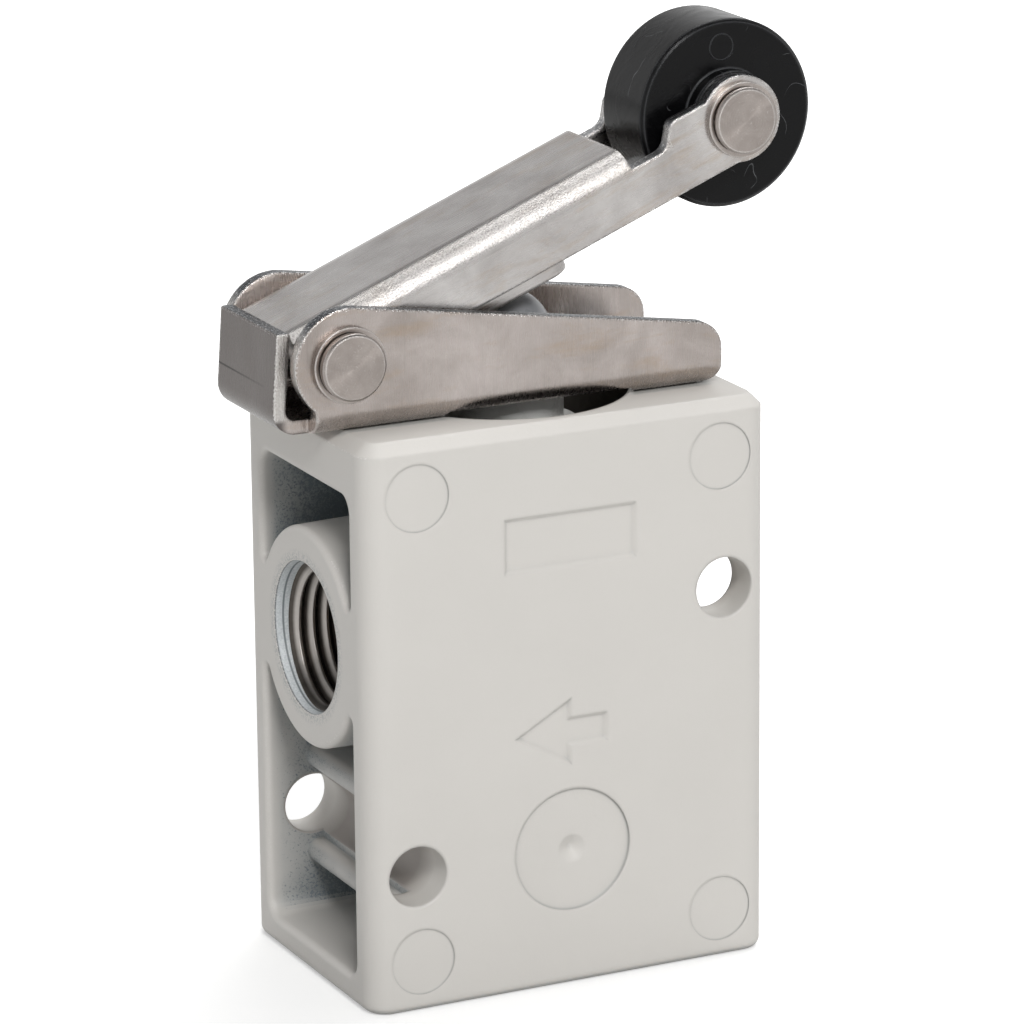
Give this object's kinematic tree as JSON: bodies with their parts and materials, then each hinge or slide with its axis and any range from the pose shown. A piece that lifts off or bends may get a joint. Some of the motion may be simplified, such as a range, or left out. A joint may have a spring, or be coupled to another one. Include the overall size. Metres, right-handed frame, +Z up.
{
  "type": "roller lever air valve",
  "caption": "Small mechanical air valve: block body with a threaded port on each side and a roller lever hinged in a sheet bracket above a spring-returned plunger.",
  "frame": {"origin": "on the plunger axis at the body's bottom face", "axes": "+Z up along the plunger axis, +X towards the roller end of the lever and the inlet side, +Y from the front face to the back face"},
  "size_m": [0.0532, 0.026, 0.0831],
  "materials": {
    "body_paint": "satin warm light grey paint on a die casting",
    "sheet_steel": "satin nickel-plated pressed sheet",
    "pin_steel": "lathe-turned steel",
    "spring_steel": "bright spring steel",
    "black_plastic": "satin black moulded plastic",
    "white_plastic": "natural white acetal",
    "seal_rubber": "black nitrile",
    "brass": "turned"
  },
  "bodies": {
    "valve": {"valve_body": "body_paint", "valve_seat": "brass", "seat_seal": "seal_rubber", "plunger_guide": "white_plastic", "guide_seal": "seal_rubber", "stem_seal": "seal_rubber", "guide_ring": "spring_steel", "lever_bracket": "sheet_steel", "bracket_screw_left": "spring_steel", "bracket_screw_right": "spring_steel", "hinge_pin": "pin_steel", "hinge_pin_clip": "spring_steel", "plunger_spring": "spring_steel", "poppet_spring": "spring_steel"},
    "lever_arm": {"lever": "sheet_steel", "roller_pin": "pin_steel", "roller_pin_clip": "spring_steel"},
    "roller_wheel": {"roller": "black_plastic"},
    "push_rod": {"plunger": "white_plastic"},
    "poppet_piston": {"poppet": "brass", "poppet_seal": "seal_rubber"}
  },
  "joints": [
    {"name": "lever_hinge", "type": "hinge", "parent": "valve", "child": "lever_arm", "pos_m": [-0.0185, 0, 0.0576], "axis": [0, 1, 0], "range_deg": [0, 12], "stiffness_Nm_per_rad": 1, "springref_deg": -11.46},
    {"name": "roller_spin", "type": "hinge", "parent": "lever_arm", "child": "roller_wheel", "pos_m": [0.0201, 0, 0.07471], "axis": [0, 1, 0], "continuous": true},
    {"name": "plunger_slide", "type": "slide", "parent": "valve", "child": "push_rod", "axis": [0, 0, -1], "range_m": [0, 0.00372], "deforming": ["plunger_spring"]},
    {"name": "poppet_slide", "type": "slide", "parent": "valve", "child": "poppet_piston", "axis": [0, 0, -1], "range_m": [0, 0.00267], "deforming": ["poppet_spring"]}
  ],
  "couplings": [
    {"joint": "plunger_slide", "follows": "lever_hinge", "m_per_rad": 0.0177},
    {"joint": "poppet_slide", "follows": "lever_hinge", "m_per_rad": 0.0127}
  ]
}
